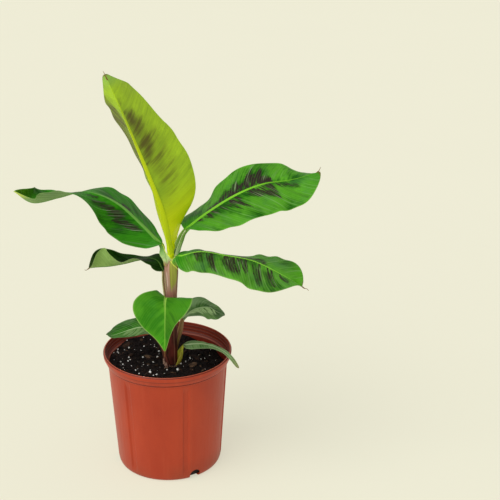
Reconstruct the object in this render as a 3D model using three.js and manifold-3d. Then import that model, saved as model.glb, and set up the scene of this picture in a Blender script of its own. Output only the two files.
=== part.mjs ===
// A young dwarf banana plant in a plastic nursery pot of potting mix.
// Millimetres. The origin is the centre of the pot's underside, +Z is up,
// +X is to the viewer's right and +Y is away from the viewer.
import * as THREE from 'three';
import { mergeVertices } from 'three/addons/utils/BufferGeometryUtils.js';
import Module from 'manifold-3d';

const wasm = await Module();
wasm.setup();

// Clearance left between neighbouring solids.
const GAP = 0.3;

// Pot: a tapered body under a flared rim band.
const POT_HEIGHT = 245.5;
const RIM_RADIUS = 128.5;
const RIM_FOOT_RADIUS = 122.5;
const RIM_BAND = 21.5;
const BODY_TOP_RADIUS = 119.5;
const BODY_FOOT_RADIUS = 104.5;
const FOOT_ROUND = 7.5;
const INNER_FOOT_RADIUS = 98;
const WALL = 2.5;
const FLOOR = 3;
const POT_SIDES = 48;
// How much the body widens for each millimetre of height.
const BODY_SLOPE = (BODY_TOP_RADIUS - BODY_FOOT_RADIUS) / (POT_HEIGHT - RIM_BAND - 2);

// Broad shallow flutes down the pot's wall, as degrees round from the front towards +X.
const FLUTE_START = -43;
const FLUTE_COUNT = 6;
const FLUTE_TOOL_RADIUS = 13;
const FLUTE_DEPTH = 1.2;

// Drain holes through the foot's corner and, between them, through the floor.
const DRAIN_START = 28;
const DRAIN_COUNT = 3;
const DRAIN_RADIUS = 9.5;
const DRAIN_RISE = 5;
const FLOOR_HOLE_RING = 62;
const FLOOR_HOLE_RADIUS = 7;

// Potting mix: its top is 23 mm under the rim at the stem, and falls away to the right.
const SOIL_TOP = 222;
const SOIL_TILT = 0.08;
const SOIL_SAG = 0.0007;
const SOIL_BUMP = 2.2;
const SOIL_SIDES = 48;
const SOIL_RINGS = [1, 0.86, 0.7, 0.52, 0.34, 0.16, 0.04];

// Pseudostem: a round column of wrapped leaf bases from the soil to the fork.
const STEM_FOOT = [8, -15];
const STEM_POINTS = [
  [7.5, -15, SOIL_TOP - 12],
  [9, -15, 262],
  [10.5, -15, 310],
  [11, -15, 360],
  [11.5, -14.5, 400],
  [11.5, -14, 430],
  [11.5, -14, 446],
];
const STEM_RADII = [12.4, 10.8, 10, 9.7, 11.8, 14.8, 10];
const STEM_SIDES = 16;

// Blades are a hundredth of their length thick, and never under this. At the
// very base and tip they thin to the end share of that.
const THIN = 1.6;
const END_SHARE = 0.1;
const ROWS = 17;
const COLUMNS = 3;
const STALK_SIDES = 8;
const STALK_ROWS = 7;

const BRIGHT_GREEN = 0x3f9a26;
const DEEP_GREEN = 0x2f7a2a;
const YELLOW_GREEN = 0xa3b944;
const GREY_GREEN = 0x5b7f55;

// Each leaf: the line of its rib from the stalk to the tip, the way that its
// upper side faces, and for its left and right half, seen along the rib, the
// width of the half and its lift in degrees, at even steps from base to tip.
// Base and tip say how much of the length is rounded off at that end, and a
// half's point how much it is drawn in beside a pointed tip.
const LEAVES = [
  {
    name: 'upright_leaf',
    colour: YELLOW_GREEN,
    rib: [
      [11, -14, 459], [-2, -26, 541], [-24, -38, 617],
      [-48, -46, 689], [-74, -48, 761], [-101, -36, 824],
    ],
    face: [0.25, 1, 0.1],
    left: { width: [60, 96, 92, 66], lift: [80, 45, 55, 75, 80], curl: 10, point: 0.5 },
    right: { width: [56, 86, 90, 56], lift: [60, 64, 62, 54, 46], curl: 0, point: 0.2 },
    base: 0.25,
    tip: 0.18,
    stalk: [[11.5, -14, 436], [11.5, -14, 448], [11, -14, 460]],
    radius: [6, 5.5, 5],
  },
  {
    name: 'upper_right_leaf',
    colour: BRIGHT_GREEN,
    rib: [
      [40, 2, 499], [83, 23, 526], [139, 48, 551],
      [196, 68, 566], [254, 81, 569], [309, 88, 582],
    ],
    face: [0, 0, 1],
    left: { width: [46, 74, 62, 52], lift: [10, -10, 20, 25, -25], curl: -15, point: 0.4 },
    right: { width: [52, 72, 80, 57], lift: [20, -10, -15, -17, -10], curl: -15, point: 0 },
    base: 0.14,
    tip: 0.22,
    stalk: [[15, -9, 440], [21, -7, 458], [29, -3, 479], [41, 2.5, 500]],
    radius: [6.5, 6.5, 6, 5],
  },
  {
    name: 'upper_left_leaf',
    colour: BRIGHT_GREEN,
    rib: [
      [-7, -4, 474], [-45, 4, 515], [-83, 10, 551], [-122, 14, 572],
      [-160, 16, 578], [-200, 16, 568], [-250, 12, 560], [-284, 6, 586],
    ],
    face: [0, 0, 1],
    left: { width: [40, 60, 60, 48, 36], lift: [-70, -55, -20, 20, 40, 15], curl: 0, point: 0 },
    right: { width: [40, 68, 60, 46, 22], lift: [-5, -5, -5, -20, 15, 115], curl: 0, point: 0 },
    base: 0.16,
    tip: 0.2,
    stalk: [[5, -25, 428], [1, -21, 442], [-3, -13, 458], [-8, -3.5, 475]],
    radius: [5, 6.5, 7, 5],
  },
  {
    name: 'lower_right_leaf',
    colour: BRIGHT_GREEN,
    rib: [
      [23, -22, 453], [67, -37, 470], [118, -55, 468],
      [167, -71, 462], [213, -83, 442], [260, -90, 414],
    ],
    face: [0, 0, 1],
    left: { width: [44, 66, 60, 56, 84], lift: [0, -20, -15, 7, 18], curl: -10, point: 0 },
    right: {
      width: [48, 62, 62, 65, 68, 60, 46],
      lift: [-5, -5, -5, -10, 35],
      curl: -20,
      point: 0.3,
    },
    base: 0.14,
    tip: 0.2,
    stalk: [[15, -18, 436], [18, -20, 445], [24, -22.5, 454]],
    radius: [6, 6, 4.5],
  },
  {
    name: 'lower_left_leaf',
    colour: DEEP_GREEN,
    rib: [
      [-5, 14, 409], [-15, 22, 427], [-32, 28, 431], [-54, 33, 426],
      [-80, 36, 418], [-109, 36, 413], [-135, 33, 413], [-151, 30, 412],
    ],
    face: [0, 0, 1],
    left: { width: [30, 44, 48, 48, 32], lift: [15, 10, 25, 30, 75, 25], curl: 0, point: 0 },
    right: { width: [30, 44, 48, 40, 28], lift: [-20, -10, -15, 5, 55, 105], curl: 0, point: 0 },
    base: 0.16,
    tip: 0.25,
    stalk: [[1, -6, 345], [-2, -1, 370], [-4, 8, 392], [-5.5, 14.5, 410]],
    radius: [3.5, 3.5, 3.5, 3],
  },
  {
    name: 'front_leaf',
    colour: BRIGHT_GREEN,
    rib: [
      [1, -20, 362], [-1, -44, 378], [-3, -72, 380],
      [-3, -98, 369], [-4, -116, 346], [-5, -126, 302],
    ],
    face: [0, -0.6, 0.8],
    left: { width: [48, 52, 44, 28, 10], lift: [20, -10, -45, -40], curl: 0, point: 0 },
    right: { width: [20, 28, 62, 48, 12], lift: [35, 25, 5, -20], curl: 0, point: 0 },
    base: 0.12,
    tip: 0.3,
    stalk: [[7, -22, 318], [3, -22, 345], [1, -20, 363]],
    radius: [4, 4, 3.5],
  },
  {
    name: 'small_right_leaf',
    colour: GREY_GREEN,
    rib: [
      [32, 10, 305], [52, 18, 319], [70, 26, 321],
      [86, 30, 319], [101, 32, 308], [117, 32, 301],
    ],
    face: [0, 0, 1],
    left: { width: [26, 36, 34, 24], lift: [-25, 10, 5, 0], curl: 0, point: 0 },
    right: { width: [26, 32, 34, 24], lift: [40, -15, -15, 20], curl: 0, point: 0 },
    base: 0.18,
    tip: 0.2,
    stalk: [[12, 3, SOIL_TOP - 12], [16, 4, 246], [25, 7.5, 280], [33, 10.5, 306]],
    radius: [4, 4, 5, 4],
  },
  {
    name: 'small_left_leaf',
    colour: DEEP_GREEN,
    rib: [
      [-32, -14, 288], [-48, -20, 303], [-69, -24, 302],
      [-91, -27, 296], [-108, -28, 292], [-120, -27, 294],
    ],
    face: [0, 0, 1],
    left: { width: [26, 38, 36, 24], lift: [0, 5, 15, 25], curl: 0, point: 0 },
    right: { width: [24, 34, 36, 24], lift: [30, 10, 5, -10], curl: 0, point: 0 },
    base: 0.18,
    tip: 0.25,
    stalk: [[1, -27, SOIL_TOP - 12], [-3.5, -27, 240], [-13, -22, 268], [-33, -14.5, 289]],
    radius: [5, 4.5, 4, 3],
  },
  {
    name: 'low_leaf',
    colour: GREY_GREEN,
    rib: [
      [32, -10, 257], [59, -20, 264], [82, -29, 265],
      [103, -38, 260], [121, -47, 249], [140, -51, 223],
    ],
    face: [0, 0, 1],
    left: { width: [10, 12, 9, 5, 5], lift: [30, -10, -12, 10], curl: 0, point: 0 },
    right: { width: [12, 15, 10, 5, 5], lift: [-30, -10, 12, 20], curl: 0, point: 0 },
    base: 0.15,
    tip: 0.35,
    stalk: [[17, -24, SOIL_TOP - 12], [24, -18, 235], [33, -9.5, 258]],
    radius: [6, 6, 3],
  },
];

const vector = (p) => new THREE.Vector3(p[0], p[1], p[2]);

// A smooth line through the points, at even steps of its own parameter.
function smooth(points) {
  return new THREE.CatmullRomCurve3(points, false, 'catmullrom', 0.5);
}

// A smooth run of single numbers, read at u from 0 to 1.
function run(values) {
  const line = smooth(values.map((value) => new THREE.Vector3(value, 0, 0)));
  return (u) => line.getPoint(u).x;
}

// A closed solid skinned over rings that all have the same even count of points.
// The two halves of a ring are split along matching diagonals, so that the two
// faces of a thin twisted plate never pass through each other.
function skin(rings) {
  const count = rings[0].length;
  const index = [];
  for (let i = 0; i < rings.length - 1; i++) {
    for (let j = 0; j < count; j++) {
      const a = i * count + j;
      const b = i * count + ((j + 1) % count);
      if (j < count / 2) index.push(a, b, b + count, a, b + count, a + count);
      else index.push(a, b, a + count, b, b + count, a + count);
    }
  }
  const last = (rings.length - 1) * count;
  for (let j = 0; j < count / 2 - 1; j++) {
    const k = count - 1 - j;
    index.push(j, k, k - 1, j, k - 1, j + 1);
    index.push(last + j, last + k - 1, last + k, last + j, last + j + 1, last + k - 1);
  }
  const geometry = new THREE.BufferGeometry();
  const numbers = rings.flat().flatMap((p) => [p.x, p.y, p.z]);
  geometry.setAttribute('position', new THREE.Float32BufferAttribute(numbers, 3));
  geometry.setIndex(index);
  return geometry;
}

// Six times the volume that the faces enclose, negative where they face inwards.
function enclosed(positions, index) {
  const a = new THREE.Vector3();
  const b = new THREE.Vector3();
  const c = new THREE.Vector3();
  let sum = 0;
  for (let i = 0; i < index.length; i += 3) {
    a.fromArray(positions, index[i] * 3);
    b.fromArray(positions, index[i + 1] * 3);
    c.fromArray(positions, index[i + 2] * 3);
    sum += a.dot(b.cross(c));
  }
  return sum;
}

// Turns a closed geometry into a solid that can be cut and joined.
function solid(geometry) {
  const bare = geometry.clone();
  bare.deleteAttribute('normal');
  bare.deleteAttribute('uv');
  const merged = mergeVertices(bare, 1e-4);
  const positions = merged.attributes.position.array;
  const triangles = [];
  const index = merged.index.array;
  for (let i = 0; i < index.length; i += 3) {
    const [a, b, c] = [index[i], index[i + 1], index[i + 2]];
    if (a !== b && b !== c && c !== a) triangles.push(a, b, c);
  }
  if (enclosed(positions, triangles) < 0) triangles.reverse();
  return new wasm.Manifold(new wasm.Mesh({
    numProp: 3,
    vertProperties: new Float32Array(positions),
    triVerts: new Uint32Array(triangles),
  }));
}

// Keeps the largest piece where a cut has left slivers.
function largest(body) {
  let best = body;
  let volume = -1;
  for (const piece of body.decompose()) {
    if (piece.volume() > volume) {
      best = piece;
      volume = piece.volume();
    }
  }
  return best;
}

// A round bar along the points, grown all round by the given amount.
function bar(points, radii, sides, rows, grow) {
  const path = points.map(vector);
  const first = path[0].clone().sub(path[1]).setLength(grow);
  const final = path[path.length - 1].clone().sub(path[path.length - 2]).setLength(grow);
  path[0].add(first);
  path[path.length - 1].add(final);
  const line = smooth(path);
  const radius = run(radii);
  const rings = [];
  for (let i = 0; i < rows; i++) {
    const u = i / (rows - 1);
    const centre = line.getPoint(u);
    const ahead = line.getTangent(u);
    const side = ahead.clone().cross(new THREE.Vector3(0.3, -1, 0.2)).normalize();
    const up = side.clone().cross(ahead).normalize();
    const ring = [];
    for (let j = 0; j < sides; j++) {
      const angle = (2 * Math.PI * (j + 0.5)) / sides;
      const reach = radius(u) + grow;
      ring.push(centre.clone()
        .addScaledVector(side, reach * Math.cos(angle))
        .addScaledVector(up, reach * Math.sin(angle)));
    }
    rings.push(ring);
  }
  return solid(skin(rings));
}

// How far a half of a blade reaches at u, as a share of its stated width.
function rounding(u, base, tip, point) {
  const near = THREE.MathUtils.clamp(1 - u / base, 0, 1);
  const far = THREE.MathUtils.clamp((u - (1 - tip)) / tip, 0, 1);
  const drawn = 1 - point * THREE.MathUtils.smoothstep(far, 0.4, 0.95);
  return Math.sqrt(1 - near * near) * Math.sqrt(1 - far * far) * drawn;
}

// One crosswise line of a blade: points from the left margin over the rib to the right.
function crossLine(leaf, line, halves, u, grow) {
  const rib = line.getPoint(u);
  const ahead = line.getTangent(u);
  const side = ahead.clone().cross(vector(leaf.face)).normalize();
  const up = side.clone().cross(ahead).normalize();
  const arms = halves.map((half) => {
    const share = rounding(u, leaf.base, leaf.tip, half.point);
    const width = Math.max(half.width(u) * share, 2.5 - u) + grow;
    const points = [];
    const at = rib.clone();
    for (let k = 0; k < COLUMNS; k++) {
      const angle = THREE.MathUtils.degToRad(half.lift(u) + half.curl * ((k + 0.5) / COLUMNS));
      at.addScaledVector(side, (half.sign * width * Math.cos(angle)) / COLUMNS);
      at.addScaledVector(up, (width * Math.sin(angle)) / COLUMNS);
      points.push(at.clone());
    }
    return points;
  });
  return [...arms[0].reverse(), rib, ...arms[1]];
}

// A leaf blade: a thin bent plate with its rib standing out underneath.
function blade(leaf, grow) {
  const line = smooth(leaf.rib.map(vector));
  const halves = [['left', -1], ['right', 1]].map(([name, sign]) => ({
    sign,
    width: run(leaf[name].width),
    lift: run(leaf[name].lift),
    curl: leaf[name].curl,
    point: leaf[name].point,
  }));
  const thick = Math.max(THIN, line.getLength() / 100);
  const lines = [];
  for (let i = 0; i < ROWS; i++) {
    lines.push(crossLine(leaf, line, halves, i / (ROWS - 1), grow));
  }
  const rings = lines.map((points, i) => {
    const share = i === 0 || i === ROWS - 1 ? END_SHARE : 1;
    const above = [];
    const below = [];
    points.forEach((point, j) => {
      const along = lines[Math.min(i + 1, ROWS - 1)][j].clone().sub(lines[Math.max(i - 1, 0)][j]);
      const across = points[Math.min(j + 1, points.length - 1)].clone().sub(points[Math.max(j - 1, 0)]);
      const normal = across.cross(along).setLength((thick * share) / 2 + grow);
      above.push(point.clone().add(normal));
      below.unshift(point.clone().sub(normal));
    });
    return [...above, ...below];
  });
  const plate = solid(skin(rings));
  const reach = leaf.radius[leaf.radius.length - 1];
  const shift = (u) => {
    const ahead = line.getTangent(u);
    const side = ahead.clone().cross(vector(leaf.face)).normalize();
    return side.cross(ahead).normalize().multiplyScalar(-0.5 * reach * (1 - 0.8 * u));
  };
  const under = [0, 0.2, 0.4, 0.6, 0.8, 0.97].map((u) => line.getPoint(u).add(shift(u)).toArray());
  const rib = bar(under, [reach, reach * 0.75, reach * 0.5, 1.2], 6, 8, grow);
  return plate.add(rib);
}

function stalk(leaf, grow) {
  return bar(leaf.stalk, leaf.radius, STALK_SIDES, STALK_ROWS, grow);
}

// The pot: a turned wall with flutes down it and drain holes at its foot.
function pot() {
  const profile = [
    [0, 0],
    [BODY_FOOT_RADIUS - FOOT_ROUND, 0],
    [BODY_FOOT_RADIUS - 4, 1.2],
    [BODY_FOOT_RADIUS - 1.2, 5],
    [BODY_FOOT_RADIUS + BODY_SLOPE * 12, 12],
    [BODY_TOP_RADIUS, POT_HEIGHT - RIM_BAND - 2],
    [RIM_FOOT_RADIUS, POT_HEIGHT - RIM_BAND],
    [RIM_RADIUS - 1, POT_HEIGHT - 5],
    [RIM_RADIUS, POT_HEIGHT - 2.5],
    [RIM_RADIUS - 0.8, POT_HEIGHT - 0.4],
    [RIM_RADIUS - 2, POT_HEIGHT],
    [RIM_RADIUS - WALL - 1, POT_HEIGHT - 1],
    [RIM_FOOT_RADIUS - WALL + 0.4, POT_HEIGHT - RIM_BAND + 1.6],
    [BODY_TOP_RADIUS - WALL + 0.1, POT_HEIGHT - RIM_BAND - 0.6],
    [BODY_FOOT_RADIUS - WALL + BODY_SLOPE * 14, 14],
    [INNER_FOOT_RADIUS, FLOOR],
    [0, FLOOR],
  ].map(([radius, height]) => new THREE.Vector2(radius, height));
  const turned = new THREE.LatheGeometry(profile, POT_SIDES);
  turned.rotateX(Math.PI / 2);
  let body = solid(turned);
  for (let k = 0; k < FLUTE_COUNT; k++) {
    const angle = THREE.MathUtils.degToRad(FLUTE_START + (360 * k) / FLUTE_COUNT);
    const ends = [14, POT_HEIGHT - RIM_BAND - 8].map((height) => {
      const radius = BODY_FOOT_RADIUS + BODY_SLOPE * height + FLUTE_TOOL_RADIUS - FLUTE_DEPTH;
      return [radius * Math.sin(angle), -radius * Math.cos(angle), height];
    });
    body = body.subtract(bar(ends, [FLUTE_TOOL_RADIUS, FLUTE_TOOL_RADIUS], 12, 2, 0));
  }
  for (let k = 0; k < DRAIN_COUNT; k++) {
    const angle = THREE.MathUtils.degToRad(DRAIN_START + (360 * k) / DRAIN_COUNT);
    const hole = new THREE.CylinderGeometry(DRAIN_RADIUS, DRAIN_RADIUS, 24, 16);
    hole.translate(0, BODY_FOOT_RADIUS, 0);
    hole.rotateZ(Math.PI + angle);
    hole.translate(0, 0, DRAIN_RISE);
    body = body.subtract(solid(hole));
    const between = angle + Math.PI / DRAIN_COUNT;
    const drop = new THREE.CylinderGeometry(FLOOR_HOLE_RADIUS, FLOOR_HOLE_RADIUS, 4 * FLOOR, 16);
    drop.rotateX(Math.PI / 2);
    drop.translate(FLOOR_HOLE_RING * Math.sin(between), -FLOOR_HOLE_RING * Math.cos(between), 0);
    body = body.subtract(solid(drop));
  }
  return body;
}

// Height of the potting mix, level close to the stem and uneven away from it.
function soilHeight(x, y) {
  const away = Math.hypot(x - STEM_FOOT[0], y - STEM_FOOT[1]);
  const ease = THREE.MathUtils.smoothstep(away, 45, 75);
  const bumps = Math.sin(x * 0.06 + 1) * Math.cos(y * 0.07) + 0.6 * Math.sin(x * 0.021 - y * 0.11);
  return SOIL_TOP + ease * (SOIL_BUMP * bumps - SOIL_TILT * x - SOIL_SAG * x * x);
}

function soil() {
  const inside = (height) => BODY_FOOT_RADIUS - WALL + BODY_SLOPE * height - 2 * GAP;
  const far = inside(SOIL_TOP);
  // A ring of the mix: its share of the pot's inner radius, at one height or on the top.
  const circle = (share, height) => {
    const ring = [];
    for (let j = 0; j < SOIL_SIDES; j++) {
      const angle = (2 * Math.PI * j) / SOIL_SIDES;
      const level = height ?? soilHeight(far * Math.cos(angle), far * Math.sin(angle));
      const x = share * inside(level) * Math.cos(angle);
      const y = share * inside(level) * Math.sin(angle);
      ring.push(new THREE.Vector3(x, y, height ?? soilHeight(x, y)));
    }
    return ring;
  };
  const bottom = FLOOR + GAP;
  const foot = (INNER_FOOT_RADIUS - 2 * GAP) / inside(bottom);
  const rings = [circle(foot, bottom), circle(1, 15), circle(1, SOIL_TOP - 32)];
  for (const share of SOIL_RINGS) rings.push(circle(share));
  return solid(skin(rings));
}

// Everything under the level where the plant stands on the potting mix.
function underground() {
  const block = new THREE.BoxGeometry(2 * RIM_RADIUS, 2 * RIM_RADIUS, 60);
  block.translate(0, 0, SOIL_TOP + GAP - 30);
  return solid(block);
}

// Every solid with its colour and the grown shape that later neighbours keep clear of.
const parts = [];

function add(name, body, grown, colour, roughness) {
  parts.push({ name, body, grown, colour, roughness });
}

// Cuts a new solid clear of everything that was made before it.
function clearOf(body) {
  let result = body;
  for (const part of parts) {
    if (!part.grown) continue;
    result = result.subtract(part.grown);
  }
  return largest(result);
}

add('pot', pot(), null, 0xb4492d, 0.5);
add('potting_soil', soil(), null, 0x1d1815, 1);
const below = underground();
const stem = (grow) => bar(STEM_POINTS, STEM_RADII, STEM_SIDES, 13, grow);
add('pseudostem', stem(0).subtract(below), stem(GAP), 0x6d3a34, 0.6);
for (const leaf of LEAVES) {
  const body = clearOf(stalk(leaf, 0).subtract(below));
  add(`${leaf.name}_stalk`, body, stalk(leaf, GAP), 0x8fae4a, 0.6);
}
for (const leaf of LEAVES) {
  const body = clearOf(blade(leaf, 0));
  add(`${leaf.name}_blade`, body, blade(leaf, GAP), leaf.colour, 0.5);
}

const plant = new THREE.Group();
plant.name = 'potted_dwarf_banana';
for (const part of parts) {
  const { vertProperties, triVerts } = part.body.getMesh();
  const geometry = new THREE.BufferGeometry();
  geometry.setAttribute('position', new THREE.BufferAttribute(new Float32Array(vertProperties), 3));
  geometry.setIndex(new THREE.BufferAttribute(new Uint32Array(triVerts), 1));
  geometry.computeVertexNormals();
  const material = new THREE.MeshStandardMaterial({
    color: part.colour,
    roughness: part.roughness,
    metalness: 0,
  });
  const mesh = new THREE.Mesh(geometry, material);
  mesh.name = part.name;
  plant.add(mesh);
}

export default plant;
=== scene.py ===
"""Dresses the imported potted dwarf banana: fine leaves, stem, pot and potting mix, with camera and light."""
import math

import bmesh
import bpy
import numpy as np
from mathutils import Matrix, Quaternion, Vector, noise


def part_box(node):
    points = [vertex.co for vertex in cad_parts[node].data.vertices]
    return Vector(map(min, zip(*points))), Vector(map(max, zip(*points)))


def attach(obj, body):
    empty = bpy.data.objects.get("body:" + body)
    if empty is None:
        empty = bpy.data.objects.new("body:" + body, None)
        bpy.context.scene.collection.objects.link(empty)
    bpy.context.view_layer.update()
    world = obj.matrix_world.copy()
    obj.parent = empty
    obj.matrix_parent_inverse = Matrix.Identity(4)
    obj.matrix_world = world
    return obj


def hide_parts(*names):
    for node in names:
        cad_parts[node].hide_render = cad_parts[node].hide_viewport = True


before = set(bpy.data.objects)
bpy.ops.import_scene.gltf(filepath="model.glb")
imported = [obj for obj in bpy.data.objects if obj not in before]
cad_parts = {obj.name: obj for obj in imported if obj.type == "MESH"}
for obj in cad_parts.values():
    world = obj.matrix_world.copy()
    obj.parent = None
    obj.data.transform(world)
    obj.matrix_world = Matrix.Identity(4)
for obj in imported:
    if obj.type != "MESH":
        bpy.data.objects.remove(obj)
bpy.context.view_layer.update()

MM = 0.001
TURN = 2 * math.pi
scene = bpy.context.scene
scene.view_settings.view_transform = "Standard"


def paint(red, green, blue):
    """A colour from its usual 0 to 255 numbers."""
    def linear(value):
        value /= 255
        return value / 12.92 if value <= 0.04045 else ((value + 0.055) / 1.055) ** 2.4
    return (linear(red), linear(green), linear(blue), 1)


CREAM = paint(239, 237, 216)


def add_thing(name, data):
    thing = bpy.data.objects.new(name, data)
    scene.collection.objects.link(thing)
    return thing


class Nodes:
    """A tree of nodes. A value is a number, a node's output or the name of a field, and a colour is
    three numbers from 0 to 255 or a node's output."""

    def __init__(self, tree):
        self.tree = tree

    def feed(self, socket, value):
        if isinstance(value, str):
            value = self.field(value)
        if isinstance(value, bpy.types.NodeSocket):
            self.tree.links.new(value, socket)
        else:
            socket.default_value = value

    def node(self, kind, output, inputs=(), **settings):
        """Adds a node and gives one of its outputs."""
        made = self.tree.nodes.new(kind)
        for key, value in settings.items():
            setattr(made, key, value)
        for key, value in dict(inputs).items():
            self.feed(made.inputs[key], value)
        return made.outputs[output]

    def field(self, name, output="Fac"):
        return self.node("ShaderNodeAttribute", output, attribute_name=name)

    def place(self, kind="Object"):
        return self.node("ShaderNodeTexCoord", kind)

    def part(self, vector, axis):
        return self.node("ShaderNodeSeparateXYZ", axis, {0: vector})

    def noise(self, vector, stretch, scale, detail, rough):
        if stretch:
            vector = self.node("ShaderNodeVectorMath", 0, {0: vector, 1: stretch}, operation="MULTIPLY")
        inputs = {"Vector": vector, "Scale": scale, "Detail": detail, "Roughness": rough}
        return self.node("ShaderNodeTexNoise", "Fac", inputs)

    def streaks(self, across, length, detail=4, rough=0.6):
        """Noise drawn out along the piece's own grain."""
        return self.noise(self.field("grain", "Vector"), (across, length, 1), 1, detail, rough)

    def cloud(self, scale, detail=3, rough=0.5, stretch=None):
        """Noise in the space that the piece fills."""
        return self.noise(self.place(), stretch, scale, detail, rough)

    def calc(self, operation, a, b=0):
        return self.node("ShaderNodeMath", 0, {0: a, 1: b}, operation=operation)

    def times(self, a, b):
        return self.calc("MULTIPLY", a, b)

    def total(self, *parts):
        """The sum of values, each with its weight."""
        found = 0
        for value, weight in parts:
            found = self.calc("ADD", found, self.times(value, weight))
        return found

    def pushed(self, value, *pushes):
        """A value pushed to either side by noises, each with its reach."""
        for push, reach in pushes:
            value = self.calc("ADD", value, self.times(self.calc("SUBTRACT", push, 0.5), reach))
        return value

    def span(self, value, low, high, first=0, last=1):
        """A smooth change from first to last while the value goes from low to high."""
        inputs = {"Value": value, "From Min": low, "From Max": high, "To Min": first, "To Max": last}
        return self.node("ShaderNodeMapRange", 0, inputs, interpolation_type="SMOOTHSTEP")

    def blend(self, share, a, b):
        a, b = (paint(*c) if isinstance(c, tuple) else c for c in (a, b))
        return self.node("ShaderNodeMix", 2, {0: share, 6: a, 7: b}, data_type="RGBA")


class Paint(Nodes):
    """One procedural material, whose colour is laid on in coats."""

    def __init__(self, name, roughness, specular):
        self.material = bpy.data.materials.new(name)
        self.material.use_nodes = True
        super().__init__(self.material.node_tree)
        self.sockets = self.tree.nodes["Principled BSDF"].inputs
        self.colour = None
        self.feed(self.sockets["Roughness"], roughness)
        self.feed(self.sockets["Specular IOR Level"], specular)

    def coat(self, share, colour, most=1):
        """Lays a colour over what is there."""
        self.colour = self.blend(share if most == 1 else self.times(share, most), self.colour, colour)

    def finish(self, rough=None, height=None, distance=0.0003, strength=0.8):
        """Joins the colour and, where given, the roughness and the bumps."""
        self.feed(self.sockets["Base Color"], self.colour)
        if rough is not None:
            self.feed(self.sockets["Roughness"], rough)
        if height is not None:
            inputs = {"Height": height, "Strength": strength, "Distance": distance}
            self.feed(self.sockets["Normal"], self.node("ShaderNodeBump", 0, inputs))
        return self.material


# Camera and light: a long lens from a little above, a broad soft key lamp, a wider weak fill lamp and a pale
# room.
def build_camera():
    lens = bpy.data.cameras.new("camera")
    lens.lens = 100.8
    lens.sensor_width = 36
    lens.clip_end = 60
    camera = add_thing("camera", lens)
    camera.location = (0, -2.512, 1.521)
    camera.rotation_euler = (math.radians(67.05), 0, math.radians(-3.773))
    scene.camera = camera


def far_lamp(name, heading, height, spread, strength, colour):
    """A far lamp, in degrees round from the viewer towards +X and up, with the width of its disc."""
    data = bpy.data.lights.new(name, "SUN")
    data.angle = math.radians(spread)
    data.energy = strength
    data.color = colour
    turn, rise = math.radians(heading), math.radians(height)
    toward = Vector((math.sin(turn) * math.cos(rise), -math.cos(turn) * math.cos(rise), math.sin(rise)))
    add_thing(name, data).rotation_euler = toward.to_track_quat("Z", "Y").to_euler()


def build_room():
    """Light from all round: as bright as the floor at the horizon and dimmer overhead."""
    scene.world = bpy.data.worlds.new("room")
    scene.world.use_nodes = True
    room = Nodes(scene.world.node_tree)
    rise = room.span(room.part(room.place("Generated"), 2), 0.03, 0.32)
    tint = room.node("ShaderNodeMix", 2, {0: rise, 6: CREAM, 7: (0.5, 0.5, 0.48, 1)}, data_type="RGBA")
    room.feed(room.tree.nodes["Background"].inputs["Color"], tint)


build_camera()
far_lamp("key", -52, 47, 60, 1.85, (1, 0.99, 0.97))
far_lamp("fill", 10, 35, 120, 0.2, (1, 1, 0.98))
build_room()


# Mesh tools. Points are in millimetres until a piece is made.
def smoothstep(value, low, high):
    t = np.clip((np.asarray(value, float) - low) / (high - low), 0, 1)
    return t * t * (3 - 2 * t)


def along(values, u):
    """A smooth run through evenly spaced values or points, read at u from 0 to 1."""
    p = np.asarray(values, float)
    flat = p.ndim == 1
    if flat:
        p = p[:, None]
    last = len(p) - 1
    p = np.vstack([2 * p[0] - p[1], p, 2 * p[-1] - p[-2]])
    s = np.clip(u, 0, 1) * last
    i = np.minimum(s.astype(int), last - 1)
    t = (s - i)[:, None]
    a, b, c, d = p[i], p[i + 1], p[i + 2], p[i + 3]
    found = 0.5 * (2 * b + (c - a) * t + (2 * a - 5 * b + 4 * c - d) * t**2 + (3 * b - a - 3 * c + d) * t**3)
    return found[:, 0] if flat else found


def unit(v):
    return v / np.maximum(np.linalg.norm(v, axis=-1, keepdims=True), 1e-12)


def travelled(points):
    """How far each point of a line is from its start."""
    return np.concatenate([[0], np.cumsum(np.linalg.norm(np.diff(points, axis=0), axis=1))])


def bump(values, width, *places):
    """1 at each of the places, falling off within the width."""
    return sum(np.exp(-(((values - place) / width) ** 2)) for place in places)


def ring(x, y, radius, turn, z):
    """Points round an upright axis, where turn is the angle from the front towards +X."""
    return np.stack([x + radius * np.sin(turn), y - radius * np.cos(turn), z + 0 * radius * turn], -1)


def piece(name, points, faces, materials, replaces=(), pick=None, fields=(), sharp=None):
    """A mesh piece in metres that rides on the plant, from points in millimetres."""
    mesh = bpy.data.meshes.new(name)
    mesh.from_pydata((np.asarray(points) * MM).tolist(), [], [list(f) for f in faces])
    for material in materials:
        mesh.materials.append(material)
    if pick is not None:
        mesh.polygons.foreach_set("material_index", np.asarray(pick, np.int32))
    for key, value in dict(fields).items():
        kind = ("FLOAT", "value") if value.ndim == 1 else ("FLOAT_VECTOR", "vector")
        data = mesh.attributes.new(key, kind[0], "POINT").data
        data.foreach_set(kind[1], value.astype(np.float32).ravel())
    mesh.shade_smooth()
    if sharp:
        mesh.set_sharp_from_angle(angle=math.radians(sharp))
    mesh.update()
    thing = add_thing(name, mesh)
    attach(thing, "root")
    if replaces:
        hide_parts(*replaces)
    return thing


def band(rows, count, closed=True):
    """Quads between rows of points, each row a ring or a strip of count points."""
    i, j = np.meshgrid(np.arange(rows - 1), np.arange(count if closed else count - 1), indexing="ij")
    a = i * count + j
    b = i * count + (j + 1) % count
    return np.stack([a, b, b + count, a + count], -1).reshape(-1, 4)


def tube(rows, count):
    """Faces of a tube of rings with both ends closed."""
    last = (rows - 1) * count
    return band(rows, count).tolist() + [list(range(count))[::-1], list(range(last, last + count))]


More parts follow.
